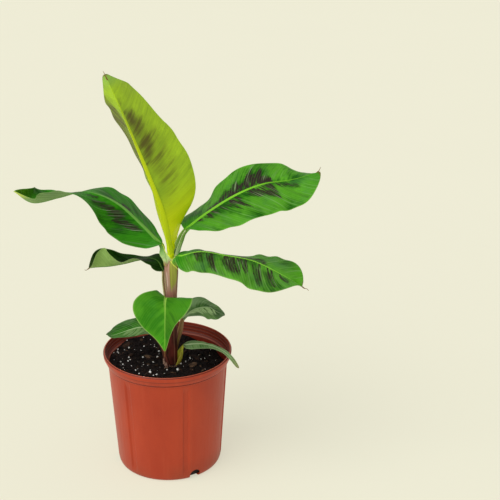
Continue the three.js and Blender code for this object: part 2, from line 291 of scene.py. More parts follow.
# Leaves: the same lines, widths and lifts as the solids, in millimetres and degrees.
def half(width, lift, curl=0, point=0, lean=(0.25, 0.7), bend=0.2, marks=()):
    """One half of a blade.

    lean is how far its veins run forward at the base and at the tip, and bend how much more
    towards the margin. Each of marks is a patch: its strength and the places it runs through,
    in percent: where along the leaf a vein leaves the rib, and where across the half the patch
    begins and ends on that vein."""
    return dict(width=width, lift=lift, curl=curl, point=point, lean=lean, bend=bend, marks=marks)


def petiole(line, radius, wing=None, fold=(50, 50), curl=(0, 0), keel=(1, 1), foot=None):
    """A stalk from its foot to the blade: wing is the width of each side of its channel."""
    wing = wing or [1.15 * r for r in radius]
    return dict(line=line, radius=radius, wing=wing, fold=fold, curl=curl, keel=keel, foot=foot)


# What a leaf has unless it says otherwise: which way its upper side faces, the size of its rib against
# the stalk's, the height of its pleats, how much the rib's colour fades and between which places, how
# soft its patches are at their edges, how dry its tip is, and no dry thread at the rib's end. Each leaf
# also gives the height and the length of its margin's ripples, and the shares of its length over which
# its base and its tip taper.
USUAL_LEAF = dict(
    face=(0, 0, 1), rib_share=0.8, pleat=0.45, rib_fade=(0, 0, 1), soft=0.08, dry=0.8, thread=None,
)
LEAVES = [
    dict(
        name="upright_leaf", look="young", rib_share=1.3, ripple=(1.2, 70), pleat=0.3,
        rib_fade=(0.9, 0.5, 0.86), soft=0.2, face=(0.25, 1, 0.1), base=0.25, tip=0.18,
        rib=[(11, -14, 459), (-2, -26, 541), (-24, -38, 617), (-48, -46, 689), (-74, -48, 761),
            (-101, -36, 824)],
        left=half([60, 96, 92, 66], [80, 45, 55, 75, 80], 10, 0.5, (0.0, 0.3), 0.1, [
            (0.6, [(40, 30, 30), (43, 15, 50), (49, 10, 60), (51, 10, 30)]),
            (1.0, [(50, 0, 10), (52, 2, 38), (57, 4, 46), (63, 6, 50), (68, 4, 52), (72, 3, 36), (77, 2, 32),
                (80, 0, 10)]),
            (0.6, [(80, 0, 0), (85.5, 0, 20), (88, 0, 0)]),
            (0.38, [(24, 10, 50), (36, 10, 70), (52, 30, 78), (64, 30, 70), (70, 30, 40)]),
        ]),
        right=half([56, 86, 90, 56], [60, 64, 62, 54, 46], 0, 0.2, (0.0, 0.3), 0.1, [
            (0.8, [(30, 40, 50), (36, 20, 90), (44, 0, 120), (50, 0, 140), (66, 0, 140), (74, 10, 140),
                (80, 40, 140), (84, 80, 140), (86, 100, 120)]),
        ]),
        thread=[(-96, -38, 813), (-100, -37, 821), (-102, -36, 826), (-103.5, -36, 830)],
        stalk=petiole([(11.5, -14, 436), (11.5, -14, 448)], [6, 5.5, 5]),
    ),
    dict(
        name="upper_right_leaf", look="bright", rib_share=0.95, ripple=(1.8, 58), rib_fade=(0.55, 0.4, 0.8),
        base=0.14, tip=0.22,
        rib=[(40, 2, 499), (83, 23, 526), (139, 48, 551), (196, 68, 566), (254, 81, 569), (309, 88, 582)],
        left=half([46, 74, 62, 52], [10, -10, 20, 25, -25], -15, 0.4, (0.45, 0.5), 0.2, [
            (1.0, [(10, 0, 5), (16.6, 0, 16), (25, 0, 24), (28, 0, 24), (32.3, 0, 50), (35.5, 0, 30),
                (40.3, 0, 52), (43, 0, 32), (46.6, 0, 34), (49.1, 0, 84), (52, 0, 50), (56.1, 0, 70),
                (59, 0, 30), (63.7, 0, 30), (68, 0, 0)]),
        ]),
        right=half([52, 72, 80, 57], [20, -10, -15, -17, -10], -15, 0, (0.1, 0.85), 0.2, [
            (0.75, [(9, 5, 10), (10.7, 4, 28), (13, 4, 12), (16, 5, 38), (19, 5, 16), (21.8, 5, 34),
                (24.5, 5, 16), (27.2, 5, 34), (29, 5, 20), (31.5, 5, 60), (34, 5, 20), (36.3, 5, 70),
                (38, 5, 30), (42, 5, 10)]),
            (0.8, [(43, 2, 2), (47.6, 2, 36), (52, 2, 40), (57.8, 2, 58), (62, 2, 36), (66, 2, 12),
                (71, 2, 20), (76, 2, 40), (79, 2, 30), (82, 0, 0)]),
        ]),
        thread=[(303, 87, 580), (308, 88, 584), (310, 88, 588), (311.5, 88, 592)],
        stalk=petiole([(15, -9, 440), (21, -7, 458), (29, -3, 479)], [6.5, 6.5, 6, 5], [8, 9.5, 9, 5.75],
            (35, 40, 42, 50)),
    ),
    dict(
        name="upper_left_leaf", look="rich", ripple=(1.3, 52), rib_fade=(0.4, 0.3, 0.7), dry=0.1, base=0.16,
        tip=0.2,
        rib=[(-7, -4, 474), (-45, 4, 515), (-83, 10, 551), (-122, 14, 572), (-160, 16, 578), (-200, 16, 568),
            (-250, 12, 560), (-284, 6, 586)],
        left=half([40, 60, 60, 48, 36], [-70, -55, -20, 20, 40, 15], 0, 0, (1.1, 1.5), 0.2, [
            (0.78, [(8, 20, 20), (10, 15, 40), (12.5, 15, 50), (16.8, 20, 62), (20.5, 30, 50), (24.2, 15, 56),
                (27, 12, 40), (30.3, 15, 56), (35.4, 25, 62), (38.5, 40, 40)]),
            (0.8, [(42, 20, 20), (44.9, 10, 42), (48, 20, 20)]),
        ]),
        right=half([40, 68, 60, 46, 22], [-5, -5, -5, -20, 15, 115], 0, 0, (0.5, 1.0), 0.2, [
            (0.9, [(21, 0, 0), (24, 0, 28), (28.3, 0, 26), (32, 0, 10), (36, 0, 12), (40, 0, 0)]),
            (0.4, [(11, 50, 50), (12.9, 40, 65), (15, 50, 50)]),
        ]),
        stalk=petiole([(8, -21, 424), (1, -21, 442), (-3, -13, 458)], [5, 6.5, 7, 5], [17, 15, 9, 5.75],
            (0, 10, 35, 50), (75, 60, 25, 0), (0.3, 0.4, 0.8, 1), (0.5, 0.86, 0)),
    ),
    dict(
        name="lower_right_leaf", look="banded", rib_share=0.9, ripple=(1.7, 46), soft=0.13,
        rib_fade=(0.15, 0.1, 0.5), base=0.14, tip=0.2,
        rib=[(23, -22, 453), (67, -37, 470), (118, -55, 468), (167, -71, 462), (213, -83, 442),
            (260, -90, 414)],
        left=half([44, 66, 60, 56, 84], [0, -20, -15, 7, 18], -10, 0, (0.3, 0.7), 0.2, [
            (0.9, [(20, 0, 20), (24, 5, 70), (28, 10, 60), (31, 0, 0)]),
            (0.7, [(36, 0, 0), (42, 2, 40), (50, 2, 25), (60, 2, 45), (70, 0, 0)]),
        ]),
        right=half([48, 62, 62, 65, 68, 60, 46], [-5, -5, -5, -10, 35], -20, 0.3, (0.25, 0.4), 0.2, [
            (0.65, [(14, 0, 20), (15.5, 0, 56), (20, 0, 60), (21.5, 0, 20)]),
            (0.85, [(23.2, 0, 30), (24.5, 0, 84), (28, 0, 84), (29.5, 0, 30)]),
            (0.65, [(34, 6, 30), (36, 3, 74), (42, 4, 70), (46.5, 4, 72), (48.5, 4, 30)]),
            (0.6, [(48.5, 0, 20), (49.7, 0, 60), (53, 0, 56), (54.5, 0, 20)]),
            (0.7, [(57, 4, 40), (58.5, 3, 80), (63, 3, 80), (64.5, 4, 40)]),
            (0.65, [(66.5, 4, 40), (68, 3, 78), (73, 3, 74), (74.5, 4, 30)]),
            (0.6, [(79, 10, 30), (82.4, 5, 60), (86, 10, 30)]),
        ]),
        thread=[(260, -90, 414), (264, -91, 411), (268, -93, 411), (272, -94, 407)],
        stalk=petiole([(15, -18, 436), (18, -20, 445)], [6, 6, 4.5], [7, 8, 6]),
    ),
    dict(
        name="lower_left_leaf", look="dark", rib_share=0.9, ripple=(0.9, 40), base=0.16, tip=0.25,
        rib=[(-5, 14, 409), (-15, 22, 427), (-32, 28, 431), (-54, 33, 426), (-80, 36, 418), (-109, 36, 413),
            (-135, 33, 413), (-151, 30, 412)],
        left=half([30, 44, 48, 48, 32], [15, 10, 25, 30, 75, 25]),
        right=half([30, 44, 48, 40, 28], [-20, -10, -15, 5, 55, 105]),
        thread=[(-149, 30, 413), (-153, 30, 410), (-156, 30, 408), (-159, 30, 409)],
        stalk=petiole([(1, -6, 345), (-2, -1, 370), (-4, 8, 392)], [3.5, 3.5, 3.5, 3], [4, 4.2, 4.4, 3.6]),
    ),
    dict(
        name="front_leaf", look="fresh", rib_share=1.1, ripple=(0.5, 40), pleat=0.14,
        rib_fade=(0.6, 0.15, 0.75), face=(0, -0.6, 0.8), base=0.12, tip=0.3,
        rib=[(1, -20, 362), (-1, -44, 378), (-3, -72, 380), (-3, -98, 369), (-4, -116, 346), (-5, -126, 302)],
        left=half([48, 52, 44, 28, 10], [20, -10, -45, -40], 0, 0.25, (0.3, 1.2)),
        right=half([20, 28, 62, 48, 12], [35, 25, 5, -20], 0, 0.25, (0.3, 1.2)),
        thread=[(-5, -126, 304), (-5.3, -126.5, 299), (-5.8, -126, 295), (-6.5, -125.5, 291)],
        stalk=petiole([(7, -22, 318), (3, -22, 345)], [4, 4, 3.5]),
    ),
    dict(
        name="small_right_leaf", look="sheen", ripple=(0.6, 30), base=0.18, tip=0.2, soft=0.25,
        rib=[(32, 10, 305), (52, 18, 319), (70, 26, 321), (86, 30, 319), (101, 32, 308), (117, 32, 301)],
        left=half([26, 36, 34, 24], [-25, 10, 5, 0]),
        # Its one mark is a patch of painted sheen.
        right=half([26, 32, 34, 24], [40, -15, -15, 20], marks=[
            (0.85, [(10, 0, 30), (30, 0, 50), (60, 0, 50), (75, 0, 30)]),
        ]),
        stalk=petiole([(12, 3, 210), (16, 4, 246), (25, 7.5, 280)], [4, 4, 5, 4], [3, 4, 6.5, 6],
            (20, 30, 35, 40)),
    ),
    dict(
        name="small_left_leaf", look="small", ripple=(0.6, 34), soft=0.25, base=0.18, tip=0.25,
        rib=[(-32, -14, 288), (-48, -20, 303), (-69, -24, 302), (-91, -27, 296), (-108, -28, 292),
            (-120, -27, 294)],
        # Its one mark is a patch of painted sheen.
        left=half([26, 38, 36, 24], [0, 5, 15, 25], marks=[
            (0.9, [(0, 0, 50), (20, 0, 90), (40, 0, 80), (55, 0, 40)]),
        ]),
        right=half([24, 34, 36, 24], [30, 10, 5, -10]),
        stalk=petiole([(1, -27, 210), (-3.5, -27, 240), (-13, -22, 268)], [5, 4.5, 4, 3], [7, 5.5, 4.5, 3.6]),
    ),
    dict(
        name="low_leaf", look="grey", rib_share=0.7, ripple=(0.3, 26), pleat=0.2, base=0.15, tip=0.22,
        rib=[(32, -10, 257), (59, -20, 264), (82, -29, 265), (103, -38, 260), (121, -47, 249),
            (140, -51, 223)],
        left=half([10, 12, 9, 6, 6], [30, -10, 0, 48]),
        right=half([12, 15, 10, 6, 6], [-30, -10, 0, -40]),
        stalk=petiole([(10, -26, 210), (21, -20, 235)], [7, 7.5, 3], [8, 9.5, 7.5, 3.4], (30, 38, 45, 50)),
    ),
]
# Keeps the two halves' streaks apart.
HALF_OFFSET = 7.7
PLEAT_LENGTH = 27
# Columns of points across half a blade: over its rib and from there to its margin.
RIB_COLUMNS, BLADE_COLUMNS = 7, 16


def frames(points, face):
    """Right and up directions along a line of points."""
    forward = unit(np.gradient(points, axis=0))
    side = unit(np.cross(forward, np.asarray(face, float)))
    return side, np.cross(side, forward)


def section(centre, side, up, radius, halves):
    """The middle surface of a blade or stalk and the distances across it, row by row.

    halves gives for the left and the right (sign, width, lift, curl, fold, wing), each a number
    for each row, where fold is a turn more within about a wing's width from the middle."""
    close = np.sin(np.linspace(0, math.pi / 2, RIB_COLUMNS + 1))
    wide = 1 - (1 - np.arange(1, BLADE_COLUMNS + 1) / BLADE_COLUMNS) ** 1.35
    grids, outs, shares = [], [], []
    for sign, *rest in halves:
        width, lift, curl, fold, wing = (np.broadcast_to(v, len(radius))[:, None] for v in rest)
        inner = np.minimum(1.25 * radius[:, None], 0.55 * width)
        steps = np.hstack([inner * close, inner + (width - inner) * wide])
        middle = (steps[:, 1:] + steps[:, :-1]) / 2
        turn = np.radians(lift + curl * middle / width + fold * (1 - smoothstep(middle / wing, 0.9, 1.6)))
        way = sign * np.cos(turn)[..., None] * side[:, None] + np.sin(turn)[..., None] * up[:, None]
        moves = np.diff(steps, axis=1)[..., None] * way
        grids.append(np.cumsum(np.concatenate([centre[:, None], moves], 1), 1))
        outs.append(steps)
        shares.append(steps / width)
    return grids, outs, shares


def joined(left, right):
    """One grid from margin to margin out of the left and right half's."""
    return np.concatenate([left[:, ::-1], right[:, 1:]], 1)


def both(left, right):
    """One field over both faces from its values on the left and right half."""
    return np.tile(joined(left, right).ravel(), 2)


def facing(grid, sign):
    """Upward normals of one half of a middle surface."""
    return unit(np.cross(np.gradient(grid, axis=1) * sign, np.gradient(grid, axis=0)))


def plump(grids, outs, shares, radius, keel, thick, channel, lifted=(0, 0)):
    """Gives the two halves their thickness, with a round keel below and a channel above."""
    radius, keel, channel = (np.broadcast_to(v, len(radius))[:, None] for v in (radius, keel, channel))
    normals = [facing(grids[0], -1), facing(grids[1], 1)]
    crown = unit(normals[0][:, 0] + normals[1][:, 0])[:, None]
    tops, bottoms = [], []
    for grid, out, share, own, lift in zip(grids, outs, shares, normals, lifted):
        ease = smoothstep(out / np.maximum(1.1 * radius, 0.3), 0, 1)[..., None]
        normal = unit(crown * (1 - ease) + own * ease)
        ratio = out / radius
        skin = thick * (1 - 0.55 * share) / 2
        above = skin + channel * radius * (0.3 * bump(ratio, 0.33, 0.85) - bump(ratio, 0.5, 0))
        below = skin + keel * radius * np.maximum(1 - (ratio / 1.25) ** 2, 0) ** 0.75
        base = grid + own * (lift + 0 * out)[..., None]
        tops.append(base + normal * above[..., None])
        bottoms.append(base - normal * below[..., None])
    return joined(*tops), joined(*bottoms)


def shell(top, bottom):
    """Points and faces of a closed thin body; material 0 above and on the edges, 1 below."""
    rows, count = top.shape[:2]
    spot = np.arange(rows * count).reshape(rows, count)
    over = band(rows, count, False)
    edge = np.concatenate([spot[:-1, 0], spot[-1, :-1], spot[:0:-1, -1], spot[0, :0:-1]])
    ahead = np.roll(edge, -1)
    sides = np.stack([edge, ahead, ahead + spot.size, edge + spot.size], -1)
    pick = np.repeat([0, 1, 0], [len(over), len(over), len(sides)])
    points = np.concatenate([top.reshape(-1, 3), bottom.reshape(-1, 3)])
    return points, np.concatenate([over, over[:, ::-1] + spot.size, sides]), pick


# Colours of each kind of leaf. Above: deep and light by turns, a paler grey-green of painted sheen in soft
# clouds, base and tip at the ends, stain on the patches and shade round them (on the sheen and small looks
# the patches are painted sheen), thin lines of painted sheen, edge on the margin, partly the leaf's own pale
# rim and partly a painted highlight. The other numbers are how strong the sheen lines are off the patches
# (shine) and on them (lines), the veins and the painted sheen clouds, and how the surface takes the light.
USUAL_LOOK = dict(
    under=(122, 166, 90), under_deep=(92, 136, 66), under_stain=(90, 96, 62), stain_and_sheen=(44, 40, 28),
    lines=0.6, veins=0.14, sheen_share=0.4, sheen=0.07, gloss=0.5,
)
LOOKS = {
    "bright": dict(
        deep=(22, 88, 6), light=(93, 172, 39), painted_sheen=(70, 132, 62), base=(64, 150, 26), tip=(66, 138, 34),
        rib=(132, 204, 52), edge=(150, 196, 84), stain_and_sheen=(48, 32, 36), shade=(22, 60, 14),
        sheen_streaks=(150, 186, 128), shine=0.2,
    ),
    "banded": dict(
        deep=(30, 82, 16), light=(90, 160, 44), painted_sheen=(76, 128, 72), base=(56, 148, 22), tip=(84, 168, 16),
        rib=(140, 206, 64), edge=(160, 186, 110), stain_and_sheen=(44, 42, 30), shade=(28, 60, 24),
        sheen_streaks=(150, 186, 124), shine=0.24, veins=0.16,
    ),
    "fresh": dict(
        deep=(48, 120, 16), light=(84, 158, 34), painted_sheen=(58, 136, 44), base=(70, 150, 26), tip=(64, 150, 22),
        rib=(158, 206, 84), edge=(180, 210, 120), shade=(30, 96, 14), sheen_streaks=(110, 176, 70),
        under=(118, 164, 84), under_deep=(90, 136, 62), shine=0.05, veins=0.05, sheen_share=0.3,
    ),
    "rich": dict(
        deep=(18, 80, 4), light=(54, 146, 12), painted_sheen=(52, 110, 34), base=(50, 130, 18), tip=(90, 140, 16),
        rib=(116, 170, 84), edge=(128, 170, 90), stain_and_sheen=(44, 34, 32), shade=(20, 52, 12),
        sheen_streaks=(160, 180, 150), under=(136, 172, 104), under_deep=(98, 134, 74),
        under_stain=(80, 90, 60), under_tip=(206, 222, 96), shine=0.16, lines=0.8, sheen_share=0.3,
    ),
    "dark": dict(
        deep=(8, 38, 2), light=(30, 78, 6), painted_sheen=(50, 84, 40), base=(20, 54, 8), tip=(110, 140, 80),
        rib=(90, 130, 60), edge=(160, 184, 120), shade=(16, 40, 8), sheen_streaks=(90, 118, 72),
        under=(156, 190, 108), under_deep=(122, 158, 80), shine=0.1, veins=0.12, sheen_share=0.2,
        sheen=0.01, gloss=0.52,
    ),
    "grey": dict(
        deep=(72, 108, 56), light=(130, 164, 106), painted_sheen=(110, 140, 100), base=(96, 128, 84),
        tip=(140, 144, 84), rib=(176, 196, 150), edge=(160, 178, 132), shade=(48, 76, 36),
        sheen_streaks=(164, 184, 150), under=(136, 158, 110), under_deep=(108, 130, 86), shine=0.12, veins=0.2,
        gloss=0.55,
    ),
    # On this look the patches and the shade round them are painted sheen, in light grey-green.
    "sheen": dict(
        deep=(52, 94, 34), light=(116, 156, 88), painted_sheen=(132, 162, 116), base=(120, 150, 96),
        tip=(60, 96, 46), rib=(166, 192, 140), edge=(120, 150, 100), stain_and_sheen=(178, 206, 146),
        shade=(122, 150, 100), sheen_streaks=(180, 204, 158), under=(116, 144, 92), under_deep=(88, 116, 66),
        under_stain=(80, 90, 60), shine=0.3, veins=0.2, sheen_share=0.75,
    ),
    "young": dict(
        deep=(74, 136, 28), light=(130, 184, 46), painted_sheen=(110, 160, 70), base=(150, 190, 20),
        tip=(120, 170, 60), rib=(196, 216, 24), edge=(172, 198, 60), stain_and_sheen=(70, 52, 32),
        shade=(60, 110, 24), sheen_streaks=(150, 190, 80), under=(174, 212, 44), under_deep=(136, 168, 40),
        under_stain=(88, 82, 34), under_base=(248, 255, 0), under_tip=(146, 192, 80), shine=0.1, sheen_share=0.2,
    ),
}
# The small look's patches are painted sheen too.
LOOKS["small"] = dict(
    LOOKS["sheen"], deep=(14, 70, 0), light=(48, 114, 14), stain_and_sheen=(116, 150, 88), shade=(70, 112, 46),
    shine=0.1, lines=0.2, sheen_share=0.2,
)
DRY = (110, 84, 46)
# Metres between the veins, along the rib.
VEIN_GAP = 0.0054


def veins(p, cloud, low):
    """Fine ridges along a blade's grain, as heights and as thin lines."""
    run = p.pushed(p.part(p.field("grain", "Vector"), 0), (cloud, 0.004))
    ridge = p.calc("COSINE", p.times(run, TURN / VEIN_GAP))
    return ridge, p.times(p.span(ridge, low, 1), "open")


def leaf_trim(p, look, margin):
    """The pale margin, partly the leaf's own rim and partly a painted highlight, the rib and the dry tip."""
    p.coat("margin", look["edge"], margin)
    p.coat("rib", look["rib"])
    p.coat("dry", DRY)


def leaf_upper(name, look):
    p = Paint(name, look["gloss"], look["sheen"])
    streak, teeth, fine = p.streaks(105, 9), p.streaks(270, 11, 2, 0.5), p.streaks(700, 22, 3, 0.55)
    broken, cloud = p.streaks(160, 70, 3), p.cloud(19)
    ridge, vein = veins(p, cloud, 0.6)
    tone = p.span(p.total((streak, 0.55), (cloud, 0.85)), 0.54, 0.84)
    p.colour = p.blend(tone, look["deep"], look["light"])
    # Painted sheen: soft clouds of a paler, greyer green.
    p.coat(p.span(p.cloud(31, 2, 0.4), 0.5, 0.72, 0, look["sheen_share"]), look["painted_sheen"])
    p.coat(p.span("run", 0, 0.2, 0.8, 0), look["base"])
    p.coat(p.span("run", 0.8, 1, 0, 0.8), look["tip"])
    near = p.span(p.pushed("stain_and_sheen", (streak, 1.8), (cloud, 1.2)), -0.1, 0.7, 0, 0.75)
    p.coat(p.times(near, "open"), look["shade"])
    p.coat(vein, look["rib"], look["veins"])
    # The patches: stains, and on the sheen and small looks patches of painted sheen.
    ragged = p.pushed("stain_and_sheen", (streak, 2.2), (teeth, 3.2), (broken, 3))
    mask = p.times(p.span(ragged, 0.45, 0.85), p.span("stain_and_sheen", 0.02, 0.3))
    p.coat(p.times(mask, p.span(vein, 0.2, 1, 0.95, 0.45)), look["stain_and_sheen"])
    # Painted sheen: thin pale lines along the grain, stronger on the patches.
    lines = p.times(p.span(teeth, 0.56, 0.7), p.span("stain_and_sheen", 0, 0.5, look["shine"], look["lines"]))
    p.coat(p.times(lines, "open"), look["sheen_streaks"])
    leaf_trim(p, look, 0.6)
    height = p.pushed(p.times(ridge, 0.25), (fine, 0.6), (streak, 0.4))
    return p.finish(p.span(cloud, 0.3, 0.75, look["gloss"] - 0.06, look["gloss"] + 0.1), height, 0.0002, 0.7)


def leaf_under(name, look):
    p = Paint(name, 0.6, 0.12)
    streak, fine, cloud = p.streaks(105, 9), p.streaks(700, 22, 3, 0.55), p.cloud(15)
    ridge, vein = veins(p, cloud, 0.4)
    tone = p.span(p.total((streak, 0.6), (cloud, 0.6)), 0.4, 0.85)
    p.colour = p.blend(tone, look["under_deep"], look["under"])
    p.coat(p.span("run", 0.02, 0.34, 1, 0), look.get("under_base", look["under"]))
    p.coat(p.span("run", 0.9, 0.99), look.get("under_tip", look["under"]))
    p.coat(vein, look["rib"], look["veins"])
    ragged = p.pushed("stain_and_sheen", (streak, 2.6), (fine, 0.7))
    p.coat(p.times(p.span(ragged, 0, 1.2, 0, 0.95), p.span("stain_and_sheen", 0.02, 0.4)), look["under_stain"])
    leaf_trim(p, look, 0.5)
    height = p.total((fine, 1), (streak, 0.5), (ridge, 0.35))
    return p.finish(p.span(cloud, 0.3, 0.75, 0.52, 0.68), height, 0.0002, 0.7)


def stalk_paint(name, foot, top, margin, middle=None, left=None):
    """Paint from foot to top, by way of middle, where left is the foot's colour on its left side."""
    p = Paint(name, 0.5, 0.18)
    lines, cloud = p.streaks(900, 14, 4, 0.55), p.cloud(60)
    shift = p.pushed("height", (lines, 0.4))
    p.colour = p.blend(p.span(p.pushed("side", (lines, 0.6)), -0.3, 0.3), left or foot, foot)
    if middle:
        p.coat(p.span(shift, 0.26, 0.44), middle)
    p.coat(p.span(shift, *((0.45, 0.9) if middle else (0.2, 0.8))), top)
    p.coat(p.span(lines, 0.5, 0.8, 0, 0.4), tuple(min(255, c * 1.25 + 14) for c in top))
    p.coat(p.times(p.span("reach", 0.8, 0.97), p.span("height", 0.02, 0.2, 0.2, 0.95)), margin)
    p.coat(p.span(cloud, 0.62, 0.8, 0, 0.3), tuple(c * 0.6 for c in foot))
    return p.finish(p.span(cloud, 0.3, 0.7, 0.45, 0.6), lines)


# Colours of each stalk: at its foot, at its top, along its margins, and between or on the left if given.
STALKS = {
    "upright_leaf": ((176, 188, 40), (214, 228, 10), (200, 214, 60)),
    "upper_right_leaf": ((186, 206, 150), (120, 160, 70), (216, 226, 180)),
    "upper_left_leaf": ((160, 150, 70), (96, 146, 60), (228, 238, 92), (176, 204, 136), (160, 116, 104)),
    "lower_right_leaf": ((120, 156, 54), (72, 146, 34), (214, 224, 110)),
    "lower_left_leaf": ((176, 140, 116), (170, 150, 110), (160, 166, 110)),
    "front_leaf": ((120, 90, 60), (110, 160, 50), (150, 130, 80)),
    "small_right_leaf": ((76, 34, 26), (150, 116, 80), (140, 120, 60)),
    "small_left_leaf": ((88, 42, 36), (96, 60, 42), (110, 56, 46)),
    "low_leaf": ((124, 84, 38), (196, 200, 66), (150, 140, 50)),
}


def blade_halves(leaf, u):
    """Sign, width, lift and curl of each half along u, growing out of the stalk's section."""
    stalk = leaf["stalk"]
    near = np.clip(1 - u / leaf["base"], 0, 1)
    far = np.clip((u - (1 - leaf["tip"])) / leaf["tip"], 0, 1)
    open_share = smoothstep(u, 0, 0.05)
    found = []
    for sign, key in ((-1, "left"), (1, "right")):
        side = leaf[key]
        drawn = 1 - side["point"] * smoothstep(far, 0.4, 0.95)
        share = np.sqrt(1 - near**2) * np.sqrt(1 - far**2) * drawn
        width = np.maximum(along(side["width"], u) * share, 0.7)
        width = np.maximum(width, stalk["wing"][-1] * (1 - open_share))
        lift = along(side["lift"], u)
        fold = (stalk["fold"][-1] - lift) * (1 - open_share)
        found.append((sign, width, lift, side["curl"] * open_share, fold, stalk["wing"][-1]))
    return found


def patch(own, part, places, soft):
    """How much of a patch is at each point: own is where its vein leaves the rib."""
    at, start, end = np.asarray(places, float).T / 100
    low, high = np.interp(own, at, start), np.interp(own, at, end)
    ends = 0.08 * soft
    inside = smoothstep(own, at[0] - ends, at[0] + ends) * (1 - smoothstep(own, at[-1] - ends, at[-1] + ends))
    begun = np.where(low > 0.01, smoothstep(part - low, -soft, soft), 1)
    return inside * begun * (1 - smoothstep(part - high, -soft, soft))


def grow_leaf(leaf, seed):
    """A blade: a thin skin with its rib and ripples, and the fields that its paint reads."""
    rng = np.random.default_rng(seed)
    name, look = leaf["name"], {**USUAL_LOOK, **LOOKS[leaf["look"]]}
    length = travelled(along(leaf["rib"], np.linspace(0, 1, 200)))[-1]
    # Rows lie about 1.3 mm apart, closer at both ends.
    t = np.linspace(0, 1, int(np.clip(length / 1.3, 130, 300)))
    u = 0.45 * t + 0.55 * (0.5 - 0.5 * np.cos(math.pi * t))
    centre = along(leaf["rib"], u)
    side, up = frames(centre, leaf["face"])
    arc = travelled(centre)[:, None]
    reach = leaf["stalk"]["radius"][-1]
    radius = along([reach, 0.74 * reach, 0.38 * reach, 0.7], u / 0.97) * leaf["rib_share"]
    radius = radius * (1 - 0.6 * smoothstep(u, 0.9, 1))
    halves = blade_halves(leaf, u)
    sunk = (0.3 * reach * (1 - smoothstep(u, 0, 0.05)))[:, None]
    grids, outs, shares = section(centre - up * sunk, side, up, radius, halves)
    height, wave = leaf["ripple"]
    lifted, found = [], []
    run = u[:, None]
    most, first, last = leaf["rib_fade"]
    fade = 1 - most * smoothstep(run, first, last)
    for index, key in enumerate(("left", "right")):
        out, part, own = outs[index], shares[index], leaf[key]
        low, high = own["lean"]
        origin = arc - out * (low + (high - low) * run + own["bend"] * part)
        phase = rng.uniform(0, TURN, 3)
        slow = np.sin(TURN * arc / (2.7 * wave) + phase[1])
        swing = np.sin(TURN * arc / wave + phase[0] + 0.9 * slow)
        inside = smoothstep(part, 0.06, 0.3) * (1 - smoothstep(part, 0.9, 1))
        pleat = leaf["pleat"] * np.sin(TURN * origin / PLEAT_LENGTH + phase[2] + np.sin(origin / 31)) * inside
        lifted.append(height * part**2.4 * swing * smoothstep(part, 0.1, 1) + pleat)
        stain_and_sheen = np.zeros_like(out)
        for strength, places in own["marks"]:
            stain_and_sheen = np.maximum(stain_and_sheen, strength * patch(origin / length, part, places, leaf["soft"]))
        ratio = out / radius[:, None]
        margin = 1 - smoothstep(halves[index][1][:, None] - out, 0.5, 1.8)
        dry = np.clip(smoothstep(run, 0.985, 1) + 0.8 * margin * smoothstep(run, 0.93, 0.98), 0, 1)
        found.append({
            "origin": origin * MM, "out": out * MM + index * HALF_OFFSET, "run": run + 0 * part,
            "rib": (1 - smoothstep(ratio, 0.75, 1.15)) * fade, "open": inside, "margin": margin,
            "stain_and_sheen": stain_and_sheen * smoothstep(ratio, 0.8, 1.3), "dry": dry * leaf["dry"],
        })
    thick = 0.95 if length > 250 else 0.7
    channel = 0.26 + 0.3 * (1 - smoothstep(u, 0, 0.12))
    points, faces, pick = shell(*plump(grids, outs, shares, radius, 1 - 0.1 * u, thick, channel, lifted))
    values = {key: both(found[0][key], found[1][key]) for key in found[0]}
    own_seed = np.full(len(points), seed * 3.3)
    values["grain"] = np.stack([values.pop("origin"), values.pop("out"), own_seed], -1)
    materials = [leaf_upper(f"{name}_upper", look), leaf_under(f"{name}_under", look)]
    piece(f"{name}_fine", points, faces, materials, [f"{name}_blade"], pick, values, 55)
    grow_stalk(leaf, seed, side[0], up[0], radius[0], channel[0], thick)


def grow_stalk(leaf, seed, side, up, end_radius, channel, thick):
    """The channelled stalk, ending in the same section as the blade begins with."""
    name, stalk = leaf["name"], leaf["stalk"]
    ahead = along(leaf["rib"], np.array([0.1]))[0]
    path = [*stalk["line"], leaf["rib"][0], ahead]
    t = np.linspace(0, 1, 70)
    centre = along(path, t * (len(path) - 2) / (len(path) - 1))
    free = stalk["foot"] is None
    own_side, own_up = frames(centre, leaf["face"] if free else stalk["foot"])
    join = smoothstep(t, 0.6 if free else 0.2, 1)[:, None]
    side, up = unit(own_side * (1 - join) + side * join), unit(own_up * (1 - join) + up * join)
    keys = ("radius", "wing", "fold", "curl", "keel")
    radii, wing, fold, curl, keel = (along(stalk[key], t) for key in keys)
    near = smoothstep(t, 0.6, 1)
    radius = radii * keel * (1 - near) + end_radius * near
    settings = [(sign, wing, fold, curl, 0, wing) for sign in (-1, 1)]
    grids, outs, shares = section(centre - up * (0.3 * radii * keel)[:, None], side, up, radius, settings)
    points, faces, pick = shell(*plump(grids, outs, shares, radius, 1, thick * 1.6, channel * 0.5))
    run, high = (np.broadcast_to(v[:, None], outs[0].shape) for v in (travelled(centre) * MM, t))
    across = both(outs[0] * MM, outs[1] * MM + 0.5)
    values = {
        "grain": np.stack([across, both(run, run), np.full(len(points), seed * 1.7)], -1),
        "reach": both(*shares), "height": both(high, high), "side": both(-shares[0], shares[1]),
    }
    skin = stalk_paint(f"{name}_stalk_skin", *STALKS[name])
    piece(f"{name}_petiole", points, faces, [skin, skin], [f"{name}_stalk"], pick, values, 60)


def dry_paint(name, dark, pale):
    p = Paint(name, 0.8, 0.1)
    cloud = p.cloud(500, 3, 0.6)
    p.colour = p.blend(p.span(cloud, 0.35, 0.65), dark, pale)
    return p.finish(None, cloud)


